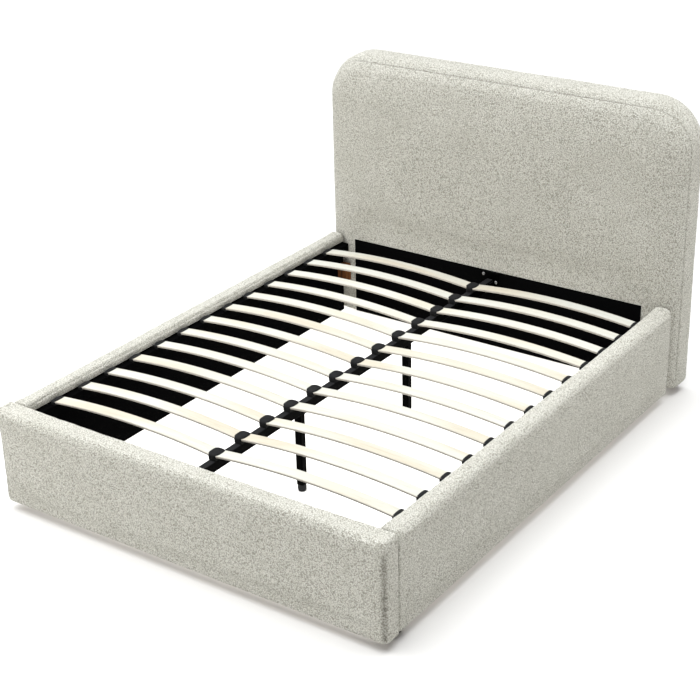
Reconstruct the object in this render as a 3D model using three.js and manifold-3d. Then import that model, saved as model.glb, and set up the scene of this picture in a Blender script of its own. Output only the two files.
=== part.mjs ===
// Upholstered bed frame for a 1524 x 2032 mm mattress, with a padded headboard and a sprung slat base.
// Millimetres, +Z up, +Y towards the head, +X to the right as seen from the foot.
// The origin is on the floor, under the middle of the bed.
import * as THREE from 'three';
import { mergeVertices } from 'three/addons/utils/BufferGeometryUtils.js';
import Module from 'manifold-3d';

const wasm = await Module();
wasm.setup();

// ---- Driving dimensions ----
const GAP = 0.3; // clearance between pieces that touch
const BED_WIDTH = 1712;
const BED_LENGTH = 2290;
const FLOOR_GAP = 40; // from the floor to the upholstery's lower edge
const RAIL_TOP = 424;
const RAIL_THICKNESS = 78;

const HEADBOARD_WIDTH = 1732;
const HEADBOARD_TOP = 1260;
const HEADBOARD_DEPTH = 172;
const HEADBOARD_RADIUS = 190;
const HEADBOARD_PAD_DEPTH = 85;
const HEADBOARD_PAD_ROUNDING = 42;
const BOXING_THICKNESS = 20;
const BOXING_ROUNDING = 14;
const BOTTOM_RADIUS = 12;
const LINING_HALF_WIDTH = 715; // black fabric over the headboard's lower front
const LINING_TOP = 407;
const LINING_LIFT = 12; // from the upholstery's lower edge to the lining's

const RAIL_PAD = 20; // foam and fabric on a rail's outer side and top
const RAIL_ROUNDING = 22;
const RAIL_INNER_ROUNDING = 14;
const RAIL_LOWER_ROUNDING = 6;
const FOOT_RAIL_CORNER = 16;
const FOOT_RAIL_BACK_CORNER = 3;
const FLAP_THICKNESS = 7.8; // fabric turned down over a rail's inner side
const FLAP_DEPTH = 38;
const LINING = 1.5;

const LEDGE_WIDTH = 32;
const LEDGE_TOP = 376;
const LEDGE_HEIGHT = 40;

const SLAT_ROWS = 13;
const SLAT_PITCH = 144.9;
const FIRST_SLAT_Y = 821;
const SLAT_WIDTH = 53;
const SLAT_THICKNESS = 8;
const SLAT_INNER_X = 14;
const SLAT_OUTER_X = 760;
const SLAT_BOW = 21;
const SLAT_TIP_Z = 383; // underside of a slat at its tips

const CENTRE_RAIL_WIDTH = 30;
const CENTRE_RAIL_HEIGHT = 40;
const CENTRE_RAIL_TOP = 370;
const TUBE_WALL = 2;

const HEAD_LEG_Y = 300;
const FOOT_LEG_Y = -435;
const LEG_SIZE = 30;
const LEG_BOTTOM = 30;
const GLIDE_TRAVEL = 12;

// ---- Smoothness and working sizes ----
const CURVE_SEGMENTS = 5;
const OUTLINE_SEGMENTS = 7;
const SLAT_SEGMENTS = 6;
const ROUND_SIDES = 18;
const LEAST_RADIUS = 1;
const OVERCUT = 1; // how far a cutter passes the face it cuts
const REACH = 100; // how far a cutter passes the whole piece
const JOIN_OVERLAP = 0.5; // how far two joined parts of one piece run into each other

// ---- Places worked out from them ----
const bedHalfWidth = BED_WIDTH / 2;
const footFace = -BED_LENGTH / 2;
const headboardBack = BED_LENGTH / 2;
const footInner = footFace + RAIL_THICKNESS;
const headboardFront = headboardBack - HEADBOARD_DEPTH;
const seamY = headboardFront + HEADBOARD_PAD_DEPTH;
const railInner = bedHalfWidth - RAIL_THICKNESS;
const frameBottom = FLOOR_GAP + 2;
const slatMiddleX = (SLAT_INNER_X + SLAT_OUTER_X) / 2;

// ---- Materials ----
const finish = (color, roughness, metalness = 0) => ({ color, roughness, metalness });
const BOUCLE = finish(0xd6d4cc, 0.95);
const LINING_FABRIC = finish(0x0b0b0c, 0.9);
const TIMBER = finish(0xc9a26e, 0.7);
const SLAT_WOOD = finish(0xf3ecd9, 0.6);
const STEEL = finish(0x161617, 0.45, 0.4);
const PLASTIC = finish(0x242527, 0.55);

// ---- Building helpers ----
const bed = new THREE.Group();

function place(name, geometry, material) {
  const mesh = new THREE.Mesh(geometry, new THREE.MeshStandardMaterial(material));
  mesh.name = name;
  bed.add(mesh);
  return mesh;
}

function toSolid(geometry) {
  const plain = geometry.clone();
  plain.deleteAttribute('normal');
  plain.deleteAttribute('uv');
  const merged = mergeVertices(plain, 1e-4);
  const vertProperties = new Float32Array(merged.attributes.position.array);
  const triVerts = new Uint32Array(merged.index.array);
  return new wasm.Manifold(new wasm.Mesh({ numProp: 3, vertProperties, triVerts }));
}

function toGeometry(solid) {
  const mesh = solid.getMesh();
  const geometry = new THREE.BufferGeometry();
  geometry.setAttribute('position', new THREE.BufferAttribute(new Float32Array(mesh.vertProperties), 3));
  geometry.setIndex(new THREE.BufferAttribute(new Uint32Array(mesh.triVerts), 1));
  geometry.computeVertexNormals();
  return geometry;
}

// A box given by its low and high corners.
function block([x0, y0, z0], [x1, y1, z1]) {
  const geometry = new THREE.BoxGeometry(x1 - x0, y1 - y0, z1 - z0);
  return geometry.translate((x0 + x1) / 2, (y0 + y1) / 2, (z0 + z1) / 2);
}

const X_AXIS = new THREE.Vector3(1, 0, 0);
const Y_AXIS = new THREE.Vector3(0, 1, 0);
const Z_AXIS = new THREE.Vector3(0, 0, 1);
const ALONG_X = new THREE.Matrix4().makeBasis(Y_AXIS, Z_AXIS, X_AXIS);
const ALONG_Y = new THREE.Matrix4().makeBasis(X_AXIS, Z_AXIS, Y_AXIS.clone().negate());

function extrude(section, depth, curveSegments) {
  return new THREE.ExtrudeGeometry(section, { depth, bevelEnabled: false, curveSegments });
}

// A section drawn in (y, z), swept in X from one place to another.
function sweepX(section, from, to, curveSegments = CURVE_SEGMENTS) {
  return extrude(section, to - from, curveSegments).applyMatrix4(ALONG_X).translate(from, 0, 0);
}

// A section drawn in (x, z), swept in Y from one place to another.
function sweepY(section, from, to, curveSegments = CURVE_SEGMENTS) {
  return extrude(section, to - from, curveSegments).applyMatrix4(ALONG_Y).translate(0, to, 0);
}

// A section drawn in (x, y), swept in Z from one height to another.
function sweepZ(section, from, to, curveSegments = CURVE_SEGMENTS) {
  return extrude(section, to - from, curveSegments).translate(0, 0, from);
}

// A closed outline through straight corners.
function polygon(points) {
  return new THREE.Shape(points.map(([u, v]) => new THREE.Vector2(u, v)));
}

// A rectangle with its own radius at each corner, listed from low left anticlockwise.
function roundedRectangle(u0, u1, v0, v1, [r00, r10, r11, r01]) {
  const shape = new THREE.Shape();
  const quarter = Math.PI / 2;
  const corner = (u, v, radius, start) => {
    if (radius > 0) {
      shape.absarc(u, v, radius, start, start + quarter, false);
    } else {
      shape.lineTo(u, v);
    }
  };
  shape.moveTo(u0 + r00, v0);
  shape.lineTo(u1 - r10, v0);
  corner(u1 - r10, v0 + r10, r10, -quarter);
  shape.lineTo(u1, v1 - r11);
  corner(u1 - r11, v1 - r11, r11, 0);
  shape.lineTo(u0 + r01, v1);
  corner(u0 + r01, v1 - r01, r01, quarter);
  shape.lineTo(u0, v0 + r00);
  corner(u0 + r00, v0 + r00, r00, 2 * quarter);
  return shape;
}

// ---- Headboard ----
// The headboard's outline, drawn in by an inset.
function headboardOutline(inset, bottom) {
  const half = HEADBOARD_WIDTH / 2 - inset;
  const shoulder = HEADBOARD_RADIUS - inset;
  const foot = Math.max(BOTTOM_RADIUS - inset, LEAST_RADIUS);
  return roundedRectangle(-half, half, bottom, HEADBOARD_TOP - inset, [foot, foot, shoulder, shoulder]);
}

// An outline swept in Y whose rim is rounded by the given amount at both ends.
function softSweepY(inset, rounding, from, to, bevelSegments) {
  const outline = headboardOutline(inset + rounding, FLOOR_GAP + inset + rounding);
  const geometry = new THREE.ExtrudeGeometry(outline, {
    depth: to - from - 2 * rounding,
    bevelEnabled: true,
    bevelThickness: rounding,
    bevelSize: rounding,
    bevelSegments,
    curveSegments: OUTLINE_SEGMENTS,
  });
  return toSolid(geometry.applyMatrix4(ALONG_Y).translate(0, to - rounding, 0));
}

function slab(y0, y1) {
  const reach = BED_LENGTH;
  return toSolid(block([-reach, y0, -reach], [reach, y1, reach]));
}

function headboardPad() {
  const cushion = softSweepY(0, HEADBOARD_PAD_ROUNDING, headboardFront, headboardBack, 4);
  return toGeometry(cushion.intersect(slab(headboardFront - OVERCUT, seamY)));
}

function headboardBoxing() {
  const outer = softSweepY(0, BOXING_ROUNDING, headboardFront, headboardBack, 2);
  const innerOutline = headboardOutline(BOXING_THICKNESS, -FLOOR_GAP);
  const inner = toSolid(sweepY(innerOutline, headboardFront, headboardBack + OVERCUT, OUTLINE_SEGMENTS));
  return toGeometry(outer.subtract(inner).intersect(slab(seamY + GAP, headboardBack + OVERCUT)));
}

function headboardSheet(from, to) {
  const edge = BOXING_THICKNESS + GAP;
  return sweepY(headboardOutline(edge, frameBottom), from, to, OUTLINE_SEGMENTS);
}

function addHeadboard() {
  const panelThickness = 9.4;
  const coverThickness = 4.7;
  const postWidth = 110;
  const topRailDepth = 200;
  const crossRail = { bottom: 320, top: 430 };
  const timberHalf = HEADBOARD_WIDTH / 2 - BOXING_THICKNESS - GAP;
  const panelFront = seamY + GAP;
  const timberFront = panelFront + panelThickness + GAP;
  const timberBack = headboardBack - coverThickness - GAP;
  const shoulderZ = HEADBOARD_TOP - BOXING_THICKNESS - GAP - topRailDepth;
  const innerPost = timberHalf - postWidth;

  place('headboard_pad', headboardPad(), BOUCLE);
  place('headboard_boxing', headboardBoxing(), BOUCLE);
  place('headboard_front_panel', headboardSheet(panelFront, panelFront + panelThickness), TIMBER);
  place('headboard_back_cover', headboardSheet(timberBack + GAP, headboardBack), BOUCLE);

  const crownOutline = headboardOutline(BOXING_THICKNESS + GAP, 0);
  const crown = toSolid(sweepY(crownOutline, timberFront, timberBack, OUTLINE_SEGMENTS));
  const above = toSolid(block([-BED_WIDTH, 0, shoulderZ + GAP], [BED_WIDTH, BED_LENGTH, BED_LENGTH]));
  place('headboard_top_rail', toGeometry(crown.intersect(above)), TIMBER);

  const post = (x0, x1) => block([x0, timberFront, frameBottom], [x1, timberBack, shoulderZ]);
  place('headboard_left_post', post(-timberHalf, -innerPost), TIMBER);
  place('headboard_right_post', post(innerPost, timberHalf), TIMBER);
  const low = [-innerPost + GAP, timberFront, crossRail.bottom];
  const high = [innerPost - GAP, timberBack, crossRail.top];
  place('headboard_cross_rail', block(low, high), TIMBER);

  const liningBack = headboardFront - GAP;
  const lining = block(
    [-LINING_HALF_WIDTH, liningBack - LINING, FLOOR_GAP + LINING_LIFT],
    [LINING_HALF_WIDTH, liningBack, LINING_TOP],
  );
  place('headboard_lower_lining', lining, LINING_FABRIC);
}

// ---- Side rails ----
const frameInner = railInner + FLAP_THICKNESS + GAP;
const frameOuter = bedHalfWidth - RAIL_PAD - GAP;
const frameTop = RAIL_TOP - RAIL_PAD - GAP;
const liningOuter = frameInner - GAP;
const liningInner = liningOuter - LINING;
const ledgeInner = frameInner - LEDGE_WIDTH;

// Sections are drawn for the right-hand rail, with x growing outwards, and mirrored for the left.
function mirrored(points, side) {
  const turned = points.map(([x, z]) => [side * x, z]);
  return side > 0 ? turned : turned.reverse();
}

function railPadSection() {
  const radii = [0, RAIL_LOWER_ROUNDING, RAIL_ROUNDING, RAIL_INNER_ROUNDING];
  return roundedRectangle(railInner, bedHalfWidth, FLOOR_GAP, RAIL_TOP, radii);
}

function sideRailPad(side, from, to) {
  const whole = toSolid(sweepY(railPadSection(), from, to));
  const timberSpace = block(
    [frameInner - GAP, from - REACH, -REACH],
    [frameOuter + GAP, to + REACH, frameTop + GAP],
  );
  const flapBottom = RAIL_TOP - FLAP_DEPTH;
  const belowFlap = block([railInner - REACH, from - REACH, -REACH], [frameOuter, to + REACH, flapBottom]);
  const pad = whole.subtract(toSolid(timberSpace)).subtract(toSolid(belowFlap));
  return toGeometry(side > 0 ? pad : pad.mirror([1, 0, 0]));
}

// A timber box beam with the slat ledge glued and stapled along its inner side.
function sideRailFrame(side, from, to) {
  const ledgeBottom = LEDGE_TOP - LEDGE_HEIGHT;
  const section = mirrored([
    [frameInner, frameBottom],
    [frameOuter, frameBottom],
    [frameOuter, frameTop],
    [frameInner, frameTop],
    [frameInner, LEDGE_TOP],
    [ledgeInner, LEDGE_TOP],
    [ledgeInner, ledgeBottom],
    [frameInner, ledgeBottom],
  ], side);
  return sweepY(polygon(section), from, to);
}

// Black fabric from under the flap, round the ledge and down to the rail's lower edge.
function sideRailLining(side, from, to) {
  const flapBottom = RAIL_TOP - FLAP_DEPTH - GAP;
  const ledgeBottom = LEDGE_TOP - LEDGE_HEIGHT;
  const ledgeFace = ledgeInner - GAP;
  const section = mirrored([
    [liningOuter, flapBottom],
    [liningInner, flapBottom],
    [liningInner, LEDGE_TOP + GAP + LINING],
    [ledgeFace - LINING, LEDGE_TOP + GAP + LINING],
    [ledgeFace - LINING, ledgeBottom - GAP - LINING],
    [liningInner, ledgeBottom - GAP - LINING],
    [liningInner, frameBottom],
    [liningOuter, frameBottom],
    [liningOuter, ledgeBottom - GAP],
    [ledgeFace, ledgeBottom - GAP],
    [ledgeFace, LEDGE_TOP + GAP],
    [liningOuter, LEDGE_TOP + GAP],
  ], side);
  return sweepY(polygon(section), from, to);
}

function addSideRails() {
  const from = footInner + GAP;
  const to = headboardFront - GAP;
  const liningEnd = to - LINING - GAP;
  for (const [name, side] of [['left', -1], ['right', 1]]) {
    place(`${name}_rail_pad`, sideRailPad(side, from, to), BOUCLE);
    place(`${name}_rail_frame`, sideRailFrame(side, from, to), TIMBER);
    place(`${name}_rail_lining`, sideRailLining(side, from + LINING + GAP, liningEnd), LINING_FABRIC);
  }
}

// ---- Foot rail ----
function footRailPad() {
  const radii = [0, 0, RAIL_INNER_ROUNDING, RAIL_ROUNDING];
  const section = roundedRectangle(footFace, footInner, FLOOR_GAP, RAIL_TOP, radii);
  const along = toSolid(sweepX(section, -bedHalfWidth, bedHalfWidth));
  const [front, back] = [FOOT_RAIL_CORNER, FOOT_RAIL_BACK_CORNER];
  const plan = roundedRectangle(-bedHalfWidth, bedHalfWidth, footFace, footInner, [front, front, back, back]);
  const upright = toSolid(sweepZ(plan, 0, RAIL_TOP + OVERCUT));
  const flapFace = footInner - FLAP_THICKNESS;
  const timberSpace = block(
    [-bedHalfWidth + RAIL_PAD, footFace + RAIL_PAD, -REACH],
    [bedHalfWidth - RAIL_PAD, flapFace, RAIL_TOP - RAIL_PAD],
  );
  const belowFlap = block(
    [-railInner, footFace + RAIL_PAD, -REACH],
    [railInner, footInner + REACH, RAIL_TOP - FLAP_DEPTH],
  );
  return toGeometry(along.intersect(upright).subtract(toSolid(timberSpace)).subtract(toSolid(belowFlap)));
}

function addFootRail() {
  const flapFace = footInner - FLAP_THICKNESS;
  const timber = block(
    [-frameOuter, footFace + RAIL_PAD + GAP, frameBottom],
    [frameOuter, flapFace - GAP, frameTop],
  );
  const lining = block(
    [-railInner + GAP, flapFace, frameBottom],
    [railInner - GAP, flapFace + LINING, RAIL_TOP - FLAP_DEPTH - GAP],
  );
  place('foot_rail_pad', footRailPad(), BOUCLE);
  place('foot_rail_frame', timber, TIMBER);
  place('foot_rail_lining', lining, LINING_FABRIC);
}

// ---- Slats ----
const slatReach = (SLAT_OUTER_X - SLAT_INNER_X) / 2;
const slatRadius = (slatReach ** 2 + SLAT_BOW ** 2) / (2 * SLAT_BOW);
const slatCentreZ = SLAT_TIP_Z + SLAT_BOW - slatRadius;
const slatHalfAngle = Math.asin(slatReach / slatRadius);
const slatY = (row) => FIRST_SLAT_Y - row * SLAT_PITCH;

function slatGeometry() {
  const upright = Math.PI / 2;
  const shape = new THREE.Shape();
  const outer = slatRadius + SLAT_THICKNESS;
  shape.absarc(0, slatCentreZ, outer, upright + slatHalfAngle, upright - slatHalfAngle, true);
  shape.absarc(0, slatCentreZ, slatRadius, upright - slatHalfAngle, upright + slatHalfAngle, false);
  return sweepY(shape, -SLAT_WIDTH / 2, SLAT_WIDTH / 2, SLAT_SEGMENTS);
}

function addSlats() {
  const geometry = slatGeometry();
  for (let row = 0; row < SLAT_ROWS; row += 1) {
    const number = String(row + 1).padStart(2, '0');
    place(`left_slat_${number}`, geometry, SLAT_WOOD).position.set(-slatMiddleX, slatY(row), 0);
    place(`right_slat_${number}`, geometry, SLAT_WOOD).position.set(slatMiddleX, slatY(row), 0);
  }
}

// ---- Slat holders ----
const HOLDER = { width: 61, webWidth: 16, webHeight: 2.5, pocketDepth: 60, pocketClearance: 0.6 };
const OUTER_HOLDER = { inner: 750, outer: 772, top: 396, webX: 762, rounding: 4 };
const CENTRE_HOLDER = { width: 50, top: 399, bevel: 4, corner: 16 };
const ledgeSurface = LEDGE_TOP + LINING + 2 * GAP;

// The space for a slat's tip, tilted as the bowed slat is there. side is the holder's side of the bed.
function pocket(side, atOuterEnd) {
  const depth = HOLDER.pocketDepth;
  const clear = HOLDER.pocketClearance;
  const geometry = new THREE.BoxGeometry(depth, SLAT_WIDTH + 2 * clear, SLAT_THICKNESS + 2 * clear);
  const outward = atOuterEnd ? 1 : -1;
  geometry.translate(-outward * (depth / 2 - 2 * clear), 0, SLAT_THICKNESS / 2);
  geometry.rotateY(outward * slatHalfAngle);
  geometry.translate(atOuterEnd ? SLAT_OUTER_X : SLAT_INNER_X, 0, SLAT_TIP_Z);
  return side > 0 ? toSolid(geometry) : toSolid(geometry).mirror([1, 0, 0]);
}

function outerHolder(side) {
  const { inner, outer, top, rounding } = OUTER_HOLDER;
  const half = HOLDER.width / 2;
  const section = roundedRectangle(-half, half, ledgeSurface, top, [0, 0, rounding, rounding]);
  const body = toSolid(sweepX(section, inner, outer, 1)).subtract(pocket(1, true));
  return side > 0 ? body : body.mirror([1, 0, 0]);
}

function centreHolder() {
  const { width, top, bevel, corner } = CENTRE_HOLDER;
  const [halfX, halfY] = [width / 2 - bevel, HOLDER.width / 2 - bevel];
  const bottom = CENTRE_RAIL_TOP + GAP;
  const plan = roundedRectangle(-halfX, halfX, -halfY, halfY, Array(4).fill(corner));
  const geometry = new THREE.ExtrudeGeometry(plan, {
    depth: top - bottom - 2 * bevel,
    bevelEnabled: true,
    bevelThickness: bevel,
    bevelSize: bevel,
    bevelSegments: 1,
    curveSegments: 1,
  });
  const body = toSolid(geometry.translate(0, 0, bottom + bevel));
  return body.subtract(pocket(1, false)).subtract(pocket(-1, false));
}

// All of a line's holders, joined by the thin web that they are moulded on.
function holderStrip(holder, webX, webBottom) {
  const halfWeb = HOLDER.webWidth / 2;
  const low = [webX - halfWeb, slatY(SLAT_ROWS - 1), webBottom];
  const high = [webX + halfWeb, slatY(0), webBottom + HOLDER.webHeight];
  let strip = toSolid(block(low, high));
  for (let row = 0; row < SLAT_ROWS; row += 1) {
    strip = strip.add(holder.translate([0, slatY(row), 0]));
  }
  return toGeometry(strip);
}

function addSlatHolders() {
  const { webX } = OUTER_HOLDER;
  place('left_slat_holders', holderStrip(outerHolder(-1), -webX, ledgeSurface), PLASTIC);
  place('centre_slat_holders', holderStrip(centreHolder(), 0, CENTRE_RAIL_TOP + GAP), PLASTIC);
  place('right_slat_holders', holderStrip(outerHolder(1), webX, ledgeSurface), PLASTIC);
}

// ---- Centre support ----
const BRACKET = { plate: 3, halfWidth: 45, bottom: 310, cupLength: 36, wall: 3, cupBelowRailTop: 8 };
const SCREW_HEAD = { radius: 6.5, height: 4, sides: 14 };
const TUBE_ROUNDING = 4;
const TUBE_ROUNDING_SEGMENTS = 4;
const BRACKET_ENDS = {
  head: { top: 404, screws: [[-31, 390], [31, 360]] },
  foot: { top: 384, screws: [[-31, 368], [31, 330]] },
};
const centreRailBottom = CENTRE_RAIL_TOP - CENTRE_RAIL_HEIGHT;

function squareTube(halfWidth, halfHeight, wall) {
  const radii = Array(4).fill(TUBE_ROUNDING);
  const section = roundedRectangle(-halfWidth, halfWidth, -halfHeight, halfHeight, radii);
  const bore = new THREE.Path();
  const [u, v] = [halfWidth - wall, halfHeight - wall];
  bore.moveTo(-u, -v).lineTo(-u, v).lineTo(u, v).lineTo(u, -v).lineTo(-u, -v);
  section.holes.push(bore);
  return section;
}

// A wall plate with a cup for the centre rail's end, and two screw heads. facing is the way the cup points.
function railBracket(end, wallY, facing) {
  const plateFar = wallY + facing * BRACKET.plate;
  const cupFar = plateFar + facing * BRACKET.cupLength;
  const span = (y0, y1) => [Math.min(y0, y1), Math.max(y0, y1)];
  const [plateLow, plateHigh] = span(wallY, plateFar);
  const plate = block(
    [-BRACKET.halfWidth, plateLow, BRACKET.bottom],
    [BRACKET.halfWidth, plateHigh, end.top],
  );
  const [cupLow, cupHigh] = span(plateFar - facing * JOIN_OVERLAP, cupFar);
  const inside = CENTRE_RAIL_WIDTH / 2 + GAP;
  const outside = inside + BRACKET.wall;
  const floor = centreRailBottom - GAP;
  const lip = CENTRE_RAIL_TOP - BRACKET.cupBelowRailTop;
  const cup = polygon([
    [-outside, floor - BRACKET.wall],
    [outside, floor - BRACKET.wall],
    [outside, lip],
    [inside, lip],
    [inside, floor],
    [-inside, floor],
    [-inside, lip],
    [-outside, lip],
  ]);
  let bracket = toSolid(plate).add(toSolid(sweepY(cup, cupLow, cupHigh)));
  const { radius, height, sides } = SCREW_HEAD;
  for (const [x, z] of end.screws) {
    const screw = new THREE.CylinderGeometry(radius, radius, height + JOIN_OVERLAP, sides);
    screw.translate(x, plateFar + facing * (height - JOIN_OVERLAP) / 2, z);
    bracket = bracket.add(toSolid(screw));
  }
  return toGeometry(bracket);
}

// A square leg with a fixing plate on top and a drilled plug at the bottom for its glide's stem.
function centreLeg(y) {
  const half = LEG_SIZE / 2;
  const plate = { top: centreRailBottom - GAP, thickness: 4, halfLength: 40 };
  const plugHeight = 12;
  const stemHole = 5.6;
  const tube = toSolid(sweepZ(squareTube(half, half, TUBE_WALL), LEG_BOTTOM, plate.top - JOIN_OVERLAP));
  const cap = toSolid(block(
    [-half, -plate.halfLength, plate.top - plate.thickness],
    [half, plate.halfLength, plate.top],
  ));
  const inside = half - TUBE_WALL + JOIN_OVERLAP;
  const plug = toSolid(block([-inside, -inside, LEG_BOTTOM], [inside, inside, LEG_BOTTOM + plugHeight]));
  const drill = new THREE.CylinderGeometry(stemHole, stemHole, plugHeight + 2 * OVERCUT, ROUND_SIDES);
  drill.rotateX(Math.PI / 2).translate(0, 0, LEG_BOTTOM + plugHeight / 2);
  return toGeometry(tube.add(cap).add(plug).subtract(toSolid(drill)).translate([0, y, 0]));
}

// A moulded foot on a threaded stem, shown screwed right in.
function glide(y) {
  const stem = 5;
  const pad = 17;
  const chamfer = 2;
  const soleRounding = { inset: 6, height: 7 };
  const collar = LEG_BOTTOM - GAP;
  const profile = [
    [0, 0],
    [pad - soleRounding.inset, 0],
    [pad - chamfer, chamfer],
    [pad, soleRounding.height],
    [pad, collar - chamfer],
    [pad - chamfer, collar],
    [stem, collar],
    [stem, collar + 2 * GLIDE_TRAVEL],
    [0, collar + 2 * GLIDE_TRAVEL],
  ];
  const geometry = new THREE.LatheGeometry(profile.map(([r, z]) => new THREE.Vector2(r, z)), ROUND_SIDES);
  return geometry.rotateX(Math.PI / 2).translate(0, y, 0);
}

function addCentreSupport() {
  const footWall = footInner - FLAP_THICKNESS + LINING + GAP;
  const headWall = headboardFront - LINING - 2 * GAP;
  const from = footWall + BRACKET.plate + GAP;
  const to = headWall - BRACKET.plate - GAP;
  const section = squareTube(CENTRE_RAIL_WIDTH / 2, CENTRE_RAIL_HEIGHT / 2, TUBE_WALL);
  const tube = sweepY(section, from, to, TUBE_ROUNDING_SEGMENTS);
  place('centre_rail', tube, STEEL).position.z = CENTRE_RAIL_TOP - CENTRE_RAIL_HEIGHT / 2;
  place('centre_rail_head_bracket', railBracket(BRACKET_ENDS.head, headWall, -1), STEEL);
  place('centre_rail_foot_bracket', railBracket(BRACKET_ENDS.foot, footWall, 1), STEEL);
  for (const [name, y] of [['head', HEAD_LEG_Y], ['foot', FOOT_LEG_Y]]) {
    place(`${name}_centre_leg`, centreLeg(y), STEEL);
    place(`${name}_leg_glide`, glide(y), PLASTIC);
  }
}

// ---- Corner blocks and feet ----
function addCornerBlocks() {
  const size = { x: 42, y: 46 };
  const z = { bottom: 203, top: 282 };
  const outer = liningInner - GAP;
  const back = headboardFront - GAP;
  const low = [outer - size.x, back - size.y, z.bottom];
  const high = [outer, back, z.top];
  place('head_right_corner_block', block(low, high), TIMBER);
  place('head_left_corner_block', block([-high[0], low[1], low[2]], [-low[0], high[1], high[2]]), TIMBER);
}

function addFeet() {
  const top = frameBottom - GAP;
  const foot = { x: 32, y: 60, radius: 6, segments: 3 };
  const frontX = frameInner + foot.x / 2 + 1;
  const rearX = 770;
  const setBack = 40;
  const rightPlaces = [
    ['front', frontX, footInner + setBack],
    ['rear', rearX, headboardBack - setBack],
  ];
  for (const [end, x, y] of rightPlaces) {
    const radii = Array(4).fill(foot.radius);
    const outline = roundedRectangle(-foot.x / 2, foot.x / 2, -foot.y / 2, foot.y / 2, radii);
    const geometry = sweepZ(outline, 0, top, foot.segments);
    place(`${end}_right_foot`, geometry, PLASTIC).position.set(x, y, 0);
    place(`${end}_left_foot`, geometry, PLASTIC).position.set(-x, y, 0);
  }
}

addHeadboard();
addSideRails();
addFootRail();
addSlats();
addSlatHolders();
addCentreSupport();
addCornerBlocks();
addFeet();

export default bed;
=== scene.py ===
"""Upholstered headboard bed: the looks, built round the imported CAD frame. Metres, +Z up, +Y to the head."""
import math

import bmesh
import bpy
import numpy as np
from mathutils import Matrix, Vector, noise


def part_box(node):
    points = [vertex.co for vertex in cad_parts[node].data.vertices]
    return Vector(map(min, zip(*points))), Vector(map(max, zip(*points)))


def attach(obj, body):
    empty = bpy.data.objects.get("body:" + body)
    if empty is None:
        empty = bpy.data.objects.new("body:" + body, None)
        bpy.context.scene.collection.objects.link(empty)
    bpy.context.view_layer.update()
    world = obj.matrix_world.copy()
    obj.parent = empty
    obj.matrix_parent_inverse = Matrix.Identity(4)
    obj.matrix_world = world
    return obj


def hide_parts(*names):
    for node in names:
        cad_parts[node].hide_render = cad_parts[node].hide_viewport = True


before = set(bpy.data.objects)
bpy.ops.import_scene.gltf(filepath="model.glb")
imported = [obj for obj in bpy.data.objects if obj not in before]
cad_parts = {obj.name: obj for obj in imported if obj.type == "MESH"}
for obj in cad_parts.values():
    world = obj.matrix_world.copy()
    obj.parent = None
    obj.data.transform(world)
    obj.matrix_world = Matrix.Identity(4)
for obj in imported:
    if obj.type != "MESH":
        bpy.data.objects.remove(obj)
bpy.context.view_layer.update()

SCENE = bpy.context.scene
SIDES = (("left", -1), ("right", 1))

# ---- Dimensions that the looks share with the CAD ----
SLAT_ROWS = 13
SLAT_REACH = 0.373
SLAT_BOW = 0.021
SLAT_TIP_Z = 0.383
SLAT_THICKNESS = 0.008
SLAT_HALF_WIDTH = 0.0265
SLAT_INNER_X = 0.014
SLAT_OUTER_X = 0.760
POCKET_DEPTH = 0.060
POCKET_CLEARANCE = 0.0006
HOLDER_HALF_WIDTH = 0.0305
OUTER_HOLDER_END = 0.772
NECK_HALF_WIDTH = 0.0155
NECK_TOP = 0.3812
LEDGE_TOP = 0.376
LEDGE_BOTTOM = 0.336
LINING_THICKNESS = 0.0015
PAD_HOLLOW = 0.0201
SHOULDER = 0.190
FABRIC_GAP = 0.0003
BRACKET_PLATE = 0.003
BRACKET_SCREWS = (
    ("head", -1, ((-0.031, 0.390), (0.031, 0.360))),
    ("foot", 1, ((-0.031, 0.368), (0.031, 0.330))),
)


# ---- Mesh helpers ----
def assign(target, settings):
    for key, value in settings.items():
        setattr(target, key, value)


def add_object(name, data):
    obj = bpy.data.objects.new(name, data)
    SCENE.collection.objects.link(obj)
    return obj


def new_object(name, vertices, faces):
    mesh = bpy.data.meshes.new(name)
    mesh.from_pydata([tuple(v) for v in vertices], [], [tuple(f) for f in faces])
    mesh.update()
    return add_object(name, mesh)


def edit(obj, work):
    """Runs work on obj's mesh as a bmesh."""
    bm = bmesh.new()
    bm.from_mesh(obj.data)
    work(bm)
    bm.to_mesh(obj.data)
    bm.free()
    obj.data.update()
    return obj


def face_out(obj):
    return edit(obj, lambda bm: bmesh.ops.recalc_face_normals(bm, faces=bm.faces))


def shade(obj, sharp_degrees):
    """Smooth shading, with edges sharper than the angle kept crisp."""

    def work(bm):
        limit = math.radians(sharp_degrees)
        for face in bm.faces:
            face.smooth = True
        for edge in bm.edges:
            edge.smooth = not edge.is_manifold or edge.calc_face_angle(0.0) < limit

    return edit(obj, work)


def coordinates(obj):
    co = np.empty(len(obj.data.vertices) * 3)
    obj.data.vertices.foreach_get("co", co)
    return co.reshape(-1, 3)


def set_coordinates(obj, co):
    obj.data.vertices.foreach_set("co", np.ascontiguousarray(co, dtype=np.float32).ravel())
    obj.data.update()


def mirror_x(obj):
    co = coordinates(obj)
    co[:, 0] *= -1
    set_coordinates(obj, co)


def mark(obj, name, values):
    """Gives each of the mesh's points a number that a material can read."""
    obj.data.attributes.new(name, "FLOAT", "POINT").data.foreach_set("value", values)


def vertex_normals(obj):
    normals = np.empty(len(obj.data.vertices) * 3)
    obj.data.vertices.foreach_get("normal", normals)
    return normals.reshape(-1, 3)


def apply_modifiers(obj):
    """Puts what the object's modifiers make into its own mesh."""
    graph = bpy.context.evaluated_depsgraph_get()
    made = bpy.data.meshes.new_from_object(obj.evaluated_get(graph))
    obj.modifiers.clear()
    old = obj.data
    obj.data = made
    bpy.data.meshes.remove(old)


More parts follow.
